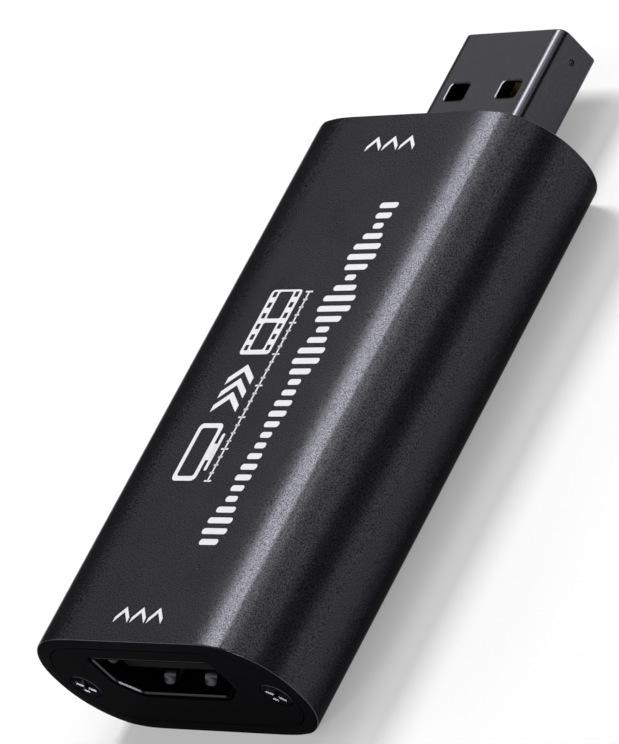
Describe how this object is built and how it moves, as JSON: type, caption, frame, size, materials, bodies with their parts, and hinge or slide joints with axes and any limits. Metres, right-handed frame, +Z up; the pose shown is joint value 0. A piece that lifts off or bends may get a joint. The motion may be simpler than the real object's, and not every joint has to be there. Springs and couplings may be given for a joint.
{
  "type": "video capture box",
  "caption": "Stick-shaped video capture box: a black aluminium sleeve with a video socket at one end and a flat data plug at the other.",
  "frame": {"origin": "under the middle of the whole stick, on the surface that its underside rests on", "axes": "+Z up through the printed top, +Y from the video socket to the plug's tip, +X across the stick"},
  "size_m": [0.0288, 0.0646, 0.0126],
  "materials": {
    "casing": "sand-blasted and anodised black",
    "end_plates": "moulded, fine texture",
    "screws": "dark nickel plated",
    "board": "green solder mask on glass laminate",
    "plug_steel": "nickel plated sheet",
    "plug_insulator": "moulded",
    "gilt_contacts": "gold flashed",
    "socket_steel": "tin plated sheet",
    "socket_housing": "moulded",
    "chip_body": "moulded epoxy",
    "tinned_leads": "tinned",
    "crystal_can": "drawn sheet",
    "crystal_base": "fired ceramic",
    "capacitors": "fired ceramic",
    "resistors": "glazed film",
    "ferrite": "sintered"
  },
  "bodies": {
    "root": {"casing": "casing", "input_end_plate": "end_plates", "output_end_plate": "end_plates", "input_plate_screws": "screws", "output_plate_screws": "screws", "circuit_board": "board", "plug_shell": "plug_steel", "plug_insulator": "plug_insulator", "plug_contacts": "gilt_contacts", "video_socket_shell": "socket_steel", "video_socket_housing": "socket_housing", "video_socket_upper_contacts": "gilt_contacts", "video_socket_lower_contacts": "gilt_contacts", "capture_chip": "chip_body", "capture_chip_leads": "tinned_leads", "memory_chip": "chip_body", "memory_chip_leads": "tinned_leads", "main_regulator": "chip_body", "main_regulator_leads": "tinned_leads", "core_regulator": "chip_body", "core_regulator_leads": "tinned_leads", "crystal_base": "crystal_base", "crystal_can": "crystal_can", "ceramic_capacitors": "capacitors", "bulk_capacitors": "capacitors", "surge_arrays": "chip_body", "resistors": "resistors", "ferrite_beads": "ferrite"}
  },
  "joints": []
}
